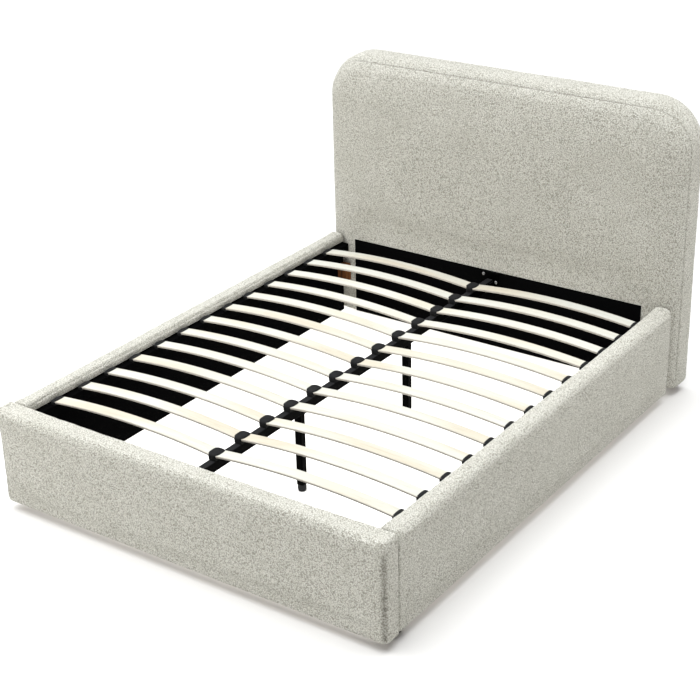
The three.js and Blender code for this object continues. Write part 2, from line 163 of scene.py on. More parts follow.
def cut(obj, cutters):
    """Takes the cutters out of obj, and deletes them."""
    for cutter in cutters:
        tool = {"operation": "DIFFERENCE", "solver": "EXACT", "object": cutter}
        assign(obj.modifiers.new("cut", "BOOLEAN"), tool)
    apply_modifiers(obj)
    for cutter in cutters:
        bpy.data.objects.remove(cutter)


def block(lo, hi):
    """A plain box, used only as a cutter."""
    corners = [(x, y, z) for x in (lo[0], hi[0]) for y in (lo[1], hi[1]) for z in (lo[2], hi[2])]
    faces = [(0, 1, 3, 2), (4, 6, 7, 5), (0, 4, 5, 1), (2, 3, 7, 6), (0, 2, 6, 4), (1, 5, 7, 3)]
    return face_out(new_object("cutter", corners, faces))


def swept_faces(rows, count):
    """Quads between the rows of a closed section of count points that is swept along a path."""
    faces = []
    for i in range(rows - 1):
        for j in range(count):
            k = (j + 1) % count
            faces.append((i * count + j, i * count + k, (i + 1) * count + k, (i + 1) * count + j))
    return faces


def end_faces(rows, count):
    """Quads over both ends of a swept section whose second half runs back beside the first."""
    return [
        (base + j, base + j + 1, base + count - 2 - j, base + count - 1 - j)
        for base in (0, (rows - 1) * count) for j in range(count // 2 - 1)
    ]


def grid_rim(first, first_step, second, second_step):
    """The points round a grid's edge: along the first direction, up the second, back and home."""
    along = [i * first_step for i in range(first)]
    up = [j * second_step for j in range(second)]
    out = along + [along[-1] + j for j in up[1:]]
    return out + [i + up[-1] for i in along[-2::-1]] + up[-2:0:-1]


def piece(obj, sharp_degrees, materials, replaces=(), body="bed_frame"):
    """Finishes a mesh: its shading, its materials, its body and the CAD nodes that it stands for."""
    shade(face_out(obj), sharp_degrees)
    for material in materials:
        obj.data.materials.append(material)
    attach(obj, body)
    if replaces:
        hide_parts(*replaces)


# ---- Material helpers ----
WHITE = (1.0, 1.0, 1.0)


class Shader:
    """A node material, built a line at a time."""

    def __init__(self, name, roughness, specular=0.5, metallic=0.0, sheen=0.0):
        self.material = bpy.data.materials.new(name)
        self.material.use_nodes = True
        self.tree = self.material.node_tree
        self.bsdf = self.tree.nodes["Principled BSDF"]
        sockets = {"Roughness": roughness, "Specular IOR Level": specular, "Metallic": metallic}
        sockets["Sheen Weight"] = sheen
        for key, value in sockets.items():
            self.bsdf.inputs[key].default_value = value
        self.place = self.add("ShaderNodeTexCoord").outputs["Object"]

    def add(self, kind, settings={}, **inputs):
        node = self.tree.nodes.new(kind)
        assign(node, settings)
        for key, value in inputs.items():
            self.feed(node.inputs[key.replace("_", " ")], value)
        return node

    def feed(self, socket, value):
        if isinstance(value, bpy.types.NodeSocket):
            self.tree.links.new(value, socket)
        else:
            socket.default_value = value

    def math(self, operation, a, b, kind="ShaderNodeMath"):
        node = self.add(kind, {"operation": operation})
        self.feed(node.inputs[0], a)
        self.feed(node.inputs[1], b)
        return node.outputs[0]

    def stretched(self, scale, vector=None):
        node = self.add("ShaderNodeMapping", Vector=vector or self.place)
        node.inputs["Scale"].default_value = scale
        return node.outputs[0]

    def noise(self, scale, detail=2.0, vector=None):
        vector = vector or self.place
        return self.add("ShaderNodeTexNoise", Vector=vector, Scale=scale, Detail=detail).outputs[0]

    def warped(self, scale, amount):
        """The object's coordinates, pushed about by noise."""
        node = self.add("ShaderNodeTexNoise", Vector=self.place, Scale=scale, Detail=1.0)
        kind = "ShaderNodeVectorMath"
        shift = self.math("SUBTRACT", node.outputs["Color"], (0.5,) * 3, kind)
        return self.math("ADD", self.place, self.math("MULTIPLY", shift, (amount,) * 3, kind), kind)

    def cells(self, scale, vector=None):
        return self.add("ShaderNodeTexVoronoi", Vector=vector or self.place, Scale=scale).outputs["Distance"]

    def ramp(self, factor, stops):
        node = self.add("ShaderNodeValToRGB", Fac=factor)
        elements = node.color_ramp.elements
        while len(elements) < len(stops):
            elements.new(0.5)
        for element, (at, colour) in zip(elements, stops):
            element.position = at
            element.color = (*colour, 1.0)
        return node.outputs["Color"]

    def mix(self, factor, a, b, blend="MIX"):
        node = self.add("ShaderNodeMix", {"data_type": "RGBA", "blend_type": blend})
        self.feed(node.inputs["Factor"], factor)
        for key, value in (("A", a), ("B", b)):
            socket = next(s for s in node.inputs if s.name == key and s.type == "RGBA")
            self.feed(socket, value if isinstance(value, bpy.types.NodeSocket) else (*value, 1.0))
        return next(s for s in node.outputs if s.type == "RGBA")

    def times(self, a, b):
        return self.mix(1.0, a, b, "MULTIPLY")

    def colour(self, value):
        self.feed(self.bsdf.inputs["Base Color"], value)

    def roughness(self, value, low, high):
        node = self.add("ShaderNodeMapRange", Value=value)
        node.inputs["To Min"].default_value = low
        node.inputs["To Max"].default_value = high
        self.feed(self.bsdf.inputs["Roughness"], node.outputs[0])

    def bump(self, height, distance, strength=1.0):
        node = self.add("ShaderNodeBump", Height=height)
        node.inputs["Distance"].default_value = distance
        node.inputs["Strength"].default_value = strength
        self.feed(self.bsdf.inputs["Normal"], node.outputs[0])


def boucle_material():
    """Looped wool-look cloth: curled nubs about 5 mm across, open crevices, and loose fibres. Low points of
    the relief are painted darker and nub tops lighter, as painted shade and light.
    """
    s = Shader("boucle", roughness=0.95, specular=0.15, sheen=0.12)
    s.bsdf.inputs["Sheen Roughness"].default_value = 0.6
    curled = s.warped(330.0, 0.0022)
    nubs = s.cells(215.0, curled)
    small = s.cells(600.0, s.warped(400.0, 0.0022))
    fibres = s.noise(2200.0, 3.0)
    height = s.math("SUBTRACT", 1.0, s.math("MULTIPLY", nubs, 0.9))
    height = s.math("SUBTRACT", height, s.math("MULTIPLY", small, 0.35))
    height = s.math("ADD", height, s.math("MULTIPLY", s.math("SUBTRACT", fibres, 0.5), 0.25))
    # Painted shade and light: the colour follows the relief's height, dark in the crevices and pale on the
    # nub tops.
    loop_and_crevice_shade = s.ramp(height, [
        (0.14, (0.318, 0.306, 0.256)),
        (0.38, (0.552, 0.539, 0.470)),
        (0.60, (0.708, 0.697, 0.630)),
        (0.82, (0.900, 0.890, 0.832)),
    ])
    tone = s.ramp(s.noise(7.0, 4.0), [(0.3, (0.93, 0.93, 0.92)), (0.7, WHITE)])
    patches = s.ramp(s.noise(42.0, 2.0), [(0.35, (0.97, 0.967, 0.96)), (0.65, WHITE)])
    cloth = s.times(s.times(loop_and_crevice_shade, tone), patches)
    # Painted shade: the cloth is mixed toward dark brown where the mesh is marked as lying in a seam's
    # crease, broken up by noise.
    painted_seam_shade = s.add("ShaderNodeAttribute", {"attribute_name": "painted_seam_shade"}).outputs["Fac"]
    uneven = s.ramp(s.noise(240.0, 2.0), [(0.35, (0.35,) * 3), (0.65, WHITE)])
    s.colour(s.mix(s.math("MULTIPLY", painted_seam_shade, uneven), cloth, (0.10, 0.088, 0.066)))
    s.bump(height, 0.0042)
    return s.material


def lining_material():
    """Black non-woven: pressed fibres with a faint dimple grid."""
    s = Shader("black_nonwoven", roughness=1.0, specular=0.02)
    fibres = s.noise(420.0, 4.0, s.stretched((1.0, 0.35, 1.0)))
    dimples = s.cells(330.0)
    s.colour(s.ramp(fibres, [(0.3, (0.0008, 0.0008, 0.0009)), (0.75, (0.0022, 0.0022, 0.0023))]))
    s.bump(s.math("ADD", fibres, s.math("MULTIPLY", dimples, 0.5)), 0.0004, 0.5)
    return s.material


def slat_material():
    """Pale birch veneer with the grain along X. Every slat has its own tone."""
    s = Shader("birch_veneer", roughness=0.6, specular=0.25)
    grain = s.noise(1.0, 5.0, s.stretched((5.0, 160.0, 160.0)))
    pores = s.noise(1.0, 2.0, s.stretched((28.0, 900.0, 900.0)))
    sheet = s.noise(1.0, 1.0, s.stretched((1.6, 6.9, 3.0)))
    tone = s.ramp(sheet, [
        (0.32, (0.468, 0.430, 0.345)),
        (0.44, (0.480, 0.470, 0.405)),
        (0.58, (0.480, 0.482, 0.435)),
        (0.72, (0.472, 0.450, 0.370)),
    ])
    lines = s.ramp(grain, [(0.30, (0.90, 0.885, 0.85)), (0.48, (0.98, 0.978, 0.965)), (0.7, WHITE)])
    specks = s.ramp(pores, [(0.26, (0.86, 0.82, 0.76)), (0.36, WHITE)])
    s.colour(s.times(s.times(tone, lines), specks))
    s.roughness(grain, 0.5, 0.72)
    s.bump(s.math("ADD", grain, pores), 0.0003, 0.5)
    return s.material


def slat_edge_material():
    """A slat's sawn edge: thin plies, glue lines and a darker grain."""
    s = Shader("birch_edge", roughness=0.75, specular=0.15)
    through = s.add("ShaderNodeAttribute", {"attribute_name": "ply"}).outputs["Fac"]
    line = s.math("PINGPONG", s.math("MULTIPLY", through, 5.0), 0.5)
    grain = s.noise(1.0, 4.0, s.stretched((60.0, 400.0, 500.0)))
    plies = s.ramp(line, [
        (0.03, (0.28, 0.252, 0.208)),
        (0.16, (0.48, 0.452, 0.395)),
        (0.5, (0.54, 0.510, 0.448)),
    ])
    shade_lines = s.ramp(grain, [(0.3, (0.72, 0.70, 0.67)), (0.7, WHITE)])
    s.colour(s.times(plies, shade_lines))
    s.bump(s.math("ADD", line, grain), 0.0004, 0.6)
    return s.material


def timber_material(name, roughness, spread, ring_scale, fine_scale, tones, line_tone, relief):
    """Rough pine: broad rings and fine lines, both stretched along the grain."""
    s = Shader(name, roughness=roughness, specular=0.2)
    rings = s.noise(1.0, 5.0, s.stretched(ring_scale))
    fine = s.noise(1.0, 3.0, s.stretched(fine_scale))
    lines = s.ramp(fine, [(0.3, line_tone), (0.6, WHITE)])
    s.colour(s.times(s.ramp(rings, tones), lines))
    if spread:
        s.roughness(rings, roughness - spread, roughness + spread)
    s.bump(s.math("ADD", rings, fine), relief, 0.6)
    return s.material


def steel_material():
    """Black powder coat with its fine orange peel. What faces up is painted lighter, in blotches, as painted
    top light.
    """
    s = Shader("black_powder_coat", roughness=0.65, specular=0.012)
    peel = s.noise(750.0, 2.0)
    wear_and_light_blotches = s.noise(24.0, 5.0)
    # Painted top light: the colour runs lighter the more a face points up.
    up = s.add("ShaderNodeSeparateXYZ", Vector=s.add("ShaderNodeNewGeometry").outputs["Normal"]).outputs["Z"]
    painted_top_light = s.math("MULTIPLY", s.math("MAXIMUM", up, 0.0), s.math("ADD", wear_and_light_blotches, 0.5))
    s.colour(s.ramp(painted_top_light, [(0.0, (0.0004, 0.0004, 0.0004)), (1.0, (0.017, 0.017, 0.0174))]))
    s.roughness(wear_and_light_blotches, 0.42, 0.6)
    s.bump(peel, 0.0002, 0.5)
    return s.material


def plastic_material(name, dark, light, roughness):
    """Moulded polypropylene with a spark-eroded grain."""
    s = Shader(name, roughness=roughness, specular=0.08)
    texture = s.noise(1300.0, 2.0)
    flow = s.noise(35.0, 3.0)
    s.colour(s.ramp(flow, [(0.3, dark), (0.7, light)]))
    s.roughness(texture, roughness - 0.08, roughness + 0.1)
    s.bump(texture, 0.0002, 0.45)
    return s.material


def zinc_material():
    """Dull zinc plate, slightly mottled and finely scratched."""
    s = Shader("zinc_plate", roughness=0.4, metallic=1.0)
    mottle = s.noise(280.0, 3.0)
    scratches = s.noise(1.0, 2.0, s.stretched((2500.0, 300.0, 300.0)))
    s.colour(s.ramp(mottle, [(0.3, (0.20, 0.20, 0.195)), (0.7, (0.32, 0.315, 0.30))]))
    s.roughness(mottle, 0.38, 0.55)
    s.bump(scratches, 0.0001, 0.4)
    return s.material


BOUCLE = boucle_material()
LINING = lining_material()
VENEER = slat_material()
VENEER_EDGE = slat_edge_material()
PINE = timber_material(
    "pine", 0.75, 0.1, (55.0, 3.5, 40.0), (420.0, 22.0, 300.0),
    [(0.3, (0.17, 0.125, 0.085)), (0.5, (0.29, 0.225, 0.160)), (0.7, (0.37, 0.300, 0.225))],
    (0.80, 0.76, 0.70), 0.0006,
)
STAINED = timber_material(
    "stained_pine", 0.7, 0.0, (70.0, 60.0, 4.0), (500.0, 400.0, 24.0),
    [(0.3, (0.050, 0.017, 0.004)), (0.5, (0.150, 0.052, 0.012)), (0.72, (0.24, 0.095, 0.025))],
    (0.75, 0.72, 0.68), 0.0005,
)
STEEL = steel_material()
CAP_PLASTIC = plastic_material("cap_plastic", (0.009,) * 3, (0.014,) * 3, 0.7)
FOOT_PLASTIC = plastic_material("foot_plastic", (0.008, 0.008, 0.009), (0.013,) * 3, 0.5)
ZINC = zinc_material()


# ---- Soft shapes ----
def steps(lo, hi, round_lo, round_hi, pitch, fine):
    """Places along one axis: close together over the rounded ends, and even between them."""
    marks = [(lo, lo + round_lo, fine), (lo + round_lo, hi - round_hi, pitch), (hi - round_hi, hi, fine)]
    places = [lo]
    for start, end, gap in marks:
        if end - start > 1e-6:
            count = max(1, round((end - start) / gap))
            places += list(np.linspace(start, end, count + 1)[1:])
    return np.array(places)


def soft_box(name, lo, hi, round_lo, round_hi, pitch, fine=0.004, power=2.3):
    """A closed box of quads whose edges are rounded by its own amount on each side."""
    lo, hi, round_lo, round_hi = (np.array(v, float) for v in (lo, hi, round_lo, round_hi))
    grid = [steps(lo[i], hi[i], round_lo[i], round_hi[i], pitch[i], fine) for i in range(3)]
    last = [len(g) - 1 for g in grid]
    index, points, faces = {}, [], []

    def vertex(key):
        if key not in index:
            index[key] = len(points)
            points.append([grid[i][key[i]] for i in range(3)])
        return index[key]

    for axis in range(3):
        u, v = [i for i in range(3) if i != axis]
        for side in (0, last[axis]):
            for i in range(last[u]):
                for j in range(last[v]):
                    corner = []
                    for a, b in ((i, j), (i + 1, j), (i + 1, j + 1), (i, j + 1)):
                        key = [0, 0, 0]
                        key[axis], key[u], key[v] = side, a, b
                        corner.append(vertex(tuple(key)))
                    faces.append(corner)
    p = np.array(points)
    centre = np.clip(p, lo + round_lo, hi - round_hi)
    radius = np.where(p < centre, round_lo, round_hi)
    d = np.where(radius > 0, (p - centre) / np.maximum(radius, 1e-9), 0.0)
    reach = np.abs(d).max(1)
    norm = (np.abs(d) ** power).sum(1) ** (1 / power)
    d *= np.where(norm > 1e-9, reach / np.maximum(norm, 1e-9), 0.0)[:, None]
    return face_out(new_object(name, centre + radius * d, faces))


def puff(obj, free, pressure, cap, frames=20):
    """Blows the cover up a little from inside as cloth. free goes from 0, sewn or glued down, to 1."""
    rest = coordinates(obj)
    pins = obj.vertex_groups.new(name="pins")
    held = np.round(1 - free, 2)
    for weight in np.unique(held):
        pins.add(np.nonzero(held == weight)[0].tolist(), float(weight), "REPLACE")
    cloth = obj.modifiers.new("Cloth", "CLOTH")
    settings = {
        "quality": 4, "mass": 0.4, "tension_stiffness": 20, "compression_stiffness": 20, "shear_stiffness": 8,
        "bending_stiffness": 3, "use_pressure": True, "uniform_pressure_force": pressure,
        "vertex_group_mass": "pins",
    }
    assign(cloth.settings, settings)
    cloth.settings.effector_weights.gravity = 0
    cloth.collision_settings.use_collision = False
    cloth.point_cache.frame_end = frames
    for number in range(1, frames + 1):
        SCENE.frame_set(number)
    apply_modifiers(obj)
    obj.vertex_groups.clear()
    SCENE.frame_set(1)
    shift = coordinates(obj) - rest
    length = np.linalg.norm(shift, axis=1)
    shift *= (np.minimum(length, cap) / np.maximum(length, 1e-9) * free)[:, None]
    set_coordinates(obj, rest + shift)


def subdivide(obj):
    modifier = obj.modifiers.new("smooth", "SUBSURF")
    modifier.levels = modifier.render_levels = 1
    apply_modifiers(obj)


def undulate(obj, free, waves):
    """Moves points along their normals by smooth noise. waves lists (wavelength, amplitude)."""
    co, normals = coordinates(obj), vertex_normals(obj)
    shift = np.zeros(len(co))
    for number, (length, amplitude) in enumerate(waves):
        offset = Vector((11.3 * (number + 1), 4.7, 7.9))
        shift += amplitude * np.array([noise.noise(Vector(p) / length + offset) for p in co])
    set_coordinates(obj, co + normals * (shift * free(co))[:, None])


def paint_seam_shade(obj, amount):
    """Marks how deep in a seam's crease each point lies, for the cloth's material to paint as shade. amount
    gives each point's share.
    """
    mark(obj, "painted_seam_shade", np.clip(amount(coordinates(obj)), 0, 1).astype(np.float32))


def smooth(t):
    return t * t * (3 - 2 * t)


def ease(value, start, end):
    """0 at start, 1 at end, smooth between."""
    return smooth(np.clip((value - start) / (end - start), 0.0, 1.0))


COVER_WAVES = ((0.26, 0.0016), (0.075, 0.0007), (0.016, 0.0009))


# ---- Headboard ----
HEAD_LO, HEAD_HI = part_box("headboard_pad")
SIDE_RIM = 0.138
TOP_RIM = 0.168
PAD_BOTTOM_RIM = 0.022
CROWN = 0.005
GROOVE = 0.004
GROOVE_DEPTH = 0.003


class Outline:
    """Points on the headboard's outline: how far in, how far round to the top, and which way is out."""

    def __init__(self, x, z):
        qx = np.abs(x) - (HEAD_HI.x - SHOULDER)
        qz = z - (HEAD_HI.z - SHOULDER)
        corner = (qx > 0) & (qz > 0)
        reach = np.maximum(np.hypot(qx, qz), 1e-9)
        on_top = np.where(qx > qz, 0.0, 1.0)
        self.inset = SHOULDER - np.where(corner, reach, np.maximum(qx, qz))
        self.out_x = np.sign(x) * np.where(corner, qx / reach, 1.0 - on_top)
        self.out_z = np.where(corner, qz / reach, on_top)
        self.top = smooth(np.where(corner, np.arctan2(qz, qx) / (math.pi / 2), on_top))


def between(at_side, at_top, share):
    return at_side + (at_top - at_side) * share


def seam_inset(top):
    return between(0.003, 0.027, top)


def seam_y(top):
    return between(1.036, 1.022, top)


def rise(inset, rim, power):
    """Share of the full depth reached at a distance in from the edge, on a superellipse."""
    t = 1 - np.clip(inset / rim, 0.0, 1.0)
    return (1 - t ** power) ** (1 / power)


def rim_places(rim, count):
    return rim * (1 - np.cos(np.linspace(0, math.pi / 2, count + 1)))


def open_back(bm):
    """Takes out the many-sided back face, so that it doesn't disturb the subdivision."""
    bmesh.ops.delete(bm, geom=[f for f in bm.faces if len(f.verts) > 4], context="FACES_ONLY")


def headboard_cushion():
    """The front cushion: flat foam on the board, its cover drawn round a deep soft rim to the seam."""
    middle, power = 0.011, 2.35
    side_rim, top_rim = rim_places(SIDE_RIM, 18), rim_places(TOP_RIM, 20)
    low_rim = rim_places(PAD_BOTTOM_RIM, 6)
    across = np.arange(HEAD_LO.x + SIDE_RIM, HEAD_HI.x - SIDE_RIM, middle)[1:]
    up = np.arange(HEAD_LO.z + PAD_BOTTOM_RIM, HEAD_HI.z - TOP_RIM, middle)[1:]
    xs = np.concatenate([HEAD_LO.x + side_rim, across, (HEAD_HI.x - side_rim)[::-1]])
    zs = np.concatenate([HEAD_LO.z + low_rim, up, (HEAD_HI.z - top_rim)[::-1]])
    gx, gz = np.meshgrid(xs, zs, indexing="ij")
    u = (np.abs(gx) - (HEAD_HI.x - SHOULDER)) / SHOULDER
    v = (gz - (HEAD_HI.z - SHOULDER)) / SHOULDER
    inside = (u > 0) & (v > 0)
    u, v = np.where(inside, u, 0.0), np.where(inside, v, 0.0)
    x = np.where(inside, np.sign(gx) * (HEAD_HI.x - SHOULDER + SHOULDER * u * np.sqrt(1 - v * v / 2)), gx)
    z = np.where(inside, HEAD_HI.z - SHOULDER + SHOULDER * v * np.sqrt(1 - u * u / 2), gz)
    at = Outline(x, z)
    shift = seam_inset(at.top) * np.clip(1 - at.inset / SHOULDER, 0, 1) ** 2
    x, z, inset = x - at.out_x * shift, z - at.out_z * shift, at.inset + shift
    rim, start = between(SIDE_RIM, TOP_RIM, at.top), seam_inset(at.top)
    full = (seam_y(at.top) - HEAD_LO.y) / (1 - rise(start, rim, power))
    low = rise(z - HEAD_LO.z, PAD_BOTTOM_RIM, 2.2)
    front = HEAD_LO.y + full * (1 - rise(inset, rim, power))
    crown = ease(z, 0.44, 0.62) * (1 - (x / HEAD_HI.x) ** 2) * (1 - np.clip((z - 0.6) / 0.66, 0, 1) ** 2)
    groove = GROOVE_DEPTH * (1 - ease(inset - start, 0.0, GROOVE))
    y = between(seam_y(at.top), front, low) - CROWN * crown
    x, z = x - at.out_x * groove, z - at.out_z * groove * ease(z, 0.3, 1.0)
    nx, nz = gx.shape
    points = np.stack([x, y, z], -1).reshape(-1, 3)
    faces = [
        (i * nz + j, (i + 1) * nz + j, (i + 1) * nz + j + 1, i * nz + j + 1)
        for i in range(nx - 1) for j in range(nz - 1)
    ]
    loop = grid_rim(nx, nz, nz, 1)
    count, total = len(points), len(loop)
    rings = []
    for inward, back in ((0.022, 0.002), (0.024, None)):
        ring = points[loop].copy()
        edge = Outline(ring[:, 0], ring[:, 2])
        low_edge = ring[:, 2] < HEAD_LO.z + 0.0005
        low_corner = np.sign(ring[:, 0]) * inward * (np.abs(ring[:, 0]) > 0.8)
        ring[:, 0] -= np.where(low_edge, low_corner, edge.out_x * inward)
        ring[:, 2] -= np.where(low_edge, -0.001, edge.out_z * inward)
        ring[:, 1] = HEAD_HI.y if back is None else ring[:, 1] + back
        rings.append(ring)
    starts = [None, count, count + total]
    for level in (1, 2):
        for i in range(total):
            k = (i + 1) % total
            below = (loop[i], loop[k]) if level == 1 else (starts[1] + i, starts[1] + k)
            faces.append((below[0], below[1], starts[level] + k, starts[level] + i))
    faces.append([starts[2] + i for i in range(total)])
    obj = face_out(new_object("headboard_cushion", np.concatenate([points] + rings), faces))
    co = coordinates(obj)
    free = ease(co[:, 2], 0.44, 0.56) * ease(Outline(co[:, 0], co[:, 2]).inset, 0.03, 0.09)
    free[count:] = 0.0
    puff(obj, free, 2.0, 0.006)
    edit(obj, open_back)
    subdivide(obj)
    edit(obj, lambda bm: bmesh.ops.holes_fill(bm, edges=[e for e in bm.edges if e.is_boundary]))

    def free_to_roll(p):
        at = Outline(p[:, 0], p[:, 2])
        return ease(p[:, 2], 0.43, 0.50) * ease(at.inset - seam_inset(at.top), 0.003, 0.02)

    undulate(obj, free_to_roll, COVER_WAVES)

    # Painted shade along the cushion's seam, stronger towards the top.
    def sewn(p):
        at = Outline(p[:, 0], p[:, 2])
        beside = 1 - ease(at.inset - seam_inset(at.top), 0.0022, 0.0052)
        return between(0.22, 0.75, at.top) * beside

    paint_seam_shade(obj, sewn)
    piece(obj, 70, [BOUCLE], ["headboard_pad"])


def head_path(pitch):
    """Points, outward directions, share of the way to the top, and lowness, from the outline's lower left."""
    half, top, low = HEAD_HI.x, HEAD_HI.z, HEAD_LO.z
    up = np.linspace(0, 1, round((top - SHOULDER - low) / pitch) + 1)
    turn = np.linspace(0, math.pi / 2, round(SHOULDER * 1.57 / pitch) + 1)[1:]
    run = np.linspace(0, 1, round(2 * (half - SHOULDER) / pitch) + 1)[1:]
    left = [(-half, low + t * (top - SHOULDER - low), -1.0, 0.0, 0.0, 1 - t) for t in up]
    for a in turn:
        x, z = -half + SHOULDER * (1 - math.cos(a)), top - SHOULDER * (1 - math.sin(a))
        left.append((x, z, -math.cos(a), math.sin(a), smooth(a / (math.pi / 2)), 0.0))
    middle = [(-half + SHOULDER + t * 2 * (half - SHOULDER), top, 0.0, 1.0, 1.0, 0.0) for t in run[:-1]]
    right = [(-x, z, -nx, nz, share, lowness) for x, z, nx, nz, share, lowness in reversed(left)]
    return left + middle + right


def boxing_section(top, hi):
    """(inset, y) round the boxing's section: from the seam over the outside to the back, and home inside."""
    back, turned, start = 0.017, 0.022, 0.45
    inset, y = float(seam_inset(top)), float(seam_y(top))
    reach = float(between(0.024, 0.058, top))
    depth = hi.y - y
    outer = [(inset + GROOVE_DEPTH, y)]
    for a in np.linspace(start, math.pi / 2, 7):
        in_from_edge = inset * (1 - math.sin(a)) / (1 - math.sin(start))
        groove = GROOVE_DEPTH * 0.8 * (1 - float(ease((a - start) * 4.0, 0.0, 1.0)))
        forward = reach * (math.cos(start) - math.cos(a)) / math.cos(start)
        outer.append((in_from_edge + groove, y + 0.0012 + forward))
    flat_from = outer[-1][1]
    for place in np.linspace(flat_from, hi.y - back, 6)[1:-1]:
        outer.append((-0.0012 * math.sin(math.pi * (place - flat_from) / depth), place))
    for a in np.linspace(0, math.pi / 2, 7):
        outer.append((back * (1 - math.cos(a)), hi.y - back * (1 - math.sin(a))))
    outer.append((turned, hi.y))
    inner = []
    for o, place in outer:
        deep = max(0.0196, o + 0.004) if place < hi.y - 0.003 else turned
        inner.append((min(deep, turned + 0.008), min(max(place, y + 0.0005), hi.y - 0.002)))
    return outer + inner[::-1]


def headboard_boxing():
    """The strip of cover round the headboard's edge, sewn to the cushion and turned over the back edge."""
    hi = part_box("headboard_boxing")[1]
    lift = 0.030
    path = head_path(0.012)
    points = []
    for x, z, nx, nz, top, lowness in path:
        section = boxing_section(top, hi)
        for o, y in section:
            cut_back = lift - math.sqrt(max(lift ** 2 - max(y - (hi.y - lift), 0.0) ** 2, 0.0))
            points.append((x - nx * o, y, z - nz * o + cut_back * lowness ** 3))
    count, rows = len(section), len(path)
    faces = swept_faces(rows, count) + end_faces(rows, count)
    obj = face_out(new_object("headboard_boxing_cover", points, faces))

    def outside(p, start, end):
        at = Outline(p[:, 0], p[:, 2])
        skin = 1 - ease(at.inset - seam_inset(at.top) * 0.5, 0.010, 0.018)
        return skin * ease(p[:, 1] - seam_y(at.top), start, end)

    co = coordinates(obj)
    free = outside(co, 0.004, 0.03) * (1 - ease(co[:, 1], hi.y - 0.02, hi.y - 0.004))
    puff(obj, free * ease(co[:, 2], 0.05, 0.12), 1.5, 0.0035)
    subdivide(obj)
    undulate(obj, lambda p: outside(p, 0.0, 0.012), COVER_WAVES)

    # Painted shade along the boxing's seam with the cushion, stronger towards the top.
    def sewn(p):
        top = Outline(p[:, 0], p[:, 2]).top
        return between(0.15, 0.45, top) * (1 - ease(p[:, 1] - seam_y(top), 0.001, 0.003))

    paint_seam_shade(obj, sewn)
    piece(obj, 60, [BOUCLE], ["headboard_boxing"])


def flat_sheet(name, outline, y_front, y_back, ripple):
    """A thin upright sheet across the bed. outline lists (z, half width) from the bottom up."""
    points, faces = [], []
    columns, rows = 61, len(outline)
    for y in (y_front, y_back):
        for z, half in outline:
            for c in range(columns):
                share = c / (columns - 1)
                x = -half + 2 * half * share
                wave = ripple * noise.noise(Vector((x * 5, 3.1, z * 5))) * math.sin(math.pi * share)
                points.append((x, y + wave, z))
    layer = rows * columns
    for i in range(rows - 1):
        for j in range(columns - 1):
            a = i * columns + j
            faces.append((a, a + 1, a + columns + 1, a + columns))
            faces.append((layer + a, layer + a + columns, layer + a + columns + 1, layer + a + 1))
    loop = grid_rim(columns, 1, rows, columns)
    for a, b in zip(loop, loop[1:] + loop[:1]):
        faces.append((a, b, layer + b, layer + a))
    return new_object(name, points, faces)


def headboard_sheets():
    """The plain back cover, and the black fabric over the cushion's foot."""
    lo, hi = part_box("headboard_back_cover")
    radius = SHOULDER - (HEAD_HI.z - hi.z)
    straight = np.arange(lo.z, hi.z - radius, 0.03)
    rounded = hi.z - radius + radius * np.sin(np.linspace(0, 1.54, 16))
    rows = []
    for z in np.concatenate([straight, rounded]):
        over = max(z - (hi.z - radius), 0.0)
        rows.append((z, hi.x - radius + math.sqrt(max(radius ** 2 - over ** 2, 0.0))))
    back = flat_sheet("headboard_back_sheet", rows, lo.y + 0.0008, hi.y - 0.0012, 0.0007)
    piece(back, 50, [BOUCLE], ["headboard_back_cover"])
    lo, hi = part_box("headboard_lower_lining")
    rows = [(z, hi.x) for z in np.linspace(lo.z, hi.z, 22)]
    front = flat_sheet("headboard_lower_cloth", rows, lo.y, hi.y, 0.0)
    piece(front, 50, [LINING], ["headboard_lower_lining"])


# ---- Rails ----
RAIL_SIDE_ROUND = 0.034
RAIL_TOP_ROUND = 0.031
RAIL_INNER_ROUND = 0.017
END_ROUND = 0.0035
SIDE_RAIL_INSET = 0.003
FOOT_SEAM_GAP = 0.0055
FLAP = 0.038
FLAP_THICKNESS = 0.0078
REACH = 0.3  # how far a cutter passes the cover


def rail_free(co, lo, hi, inside):
    """Freedom of a rail cover's points: none at its lower edge, its ends and below the flap."""
    up = ease(co[:, 2], lo.z + 0.012, lo.z + 0.07)
    ends = ease(co[:, 1] - lo.y, 0.006, 0.05) * ease(hi.y - co[:, 1], 0.006, 0.05)
    return up * ends * np.where(inside, ease(co[:, 2], hi.z - FLAP, hi.z - 0.01), 1.0)


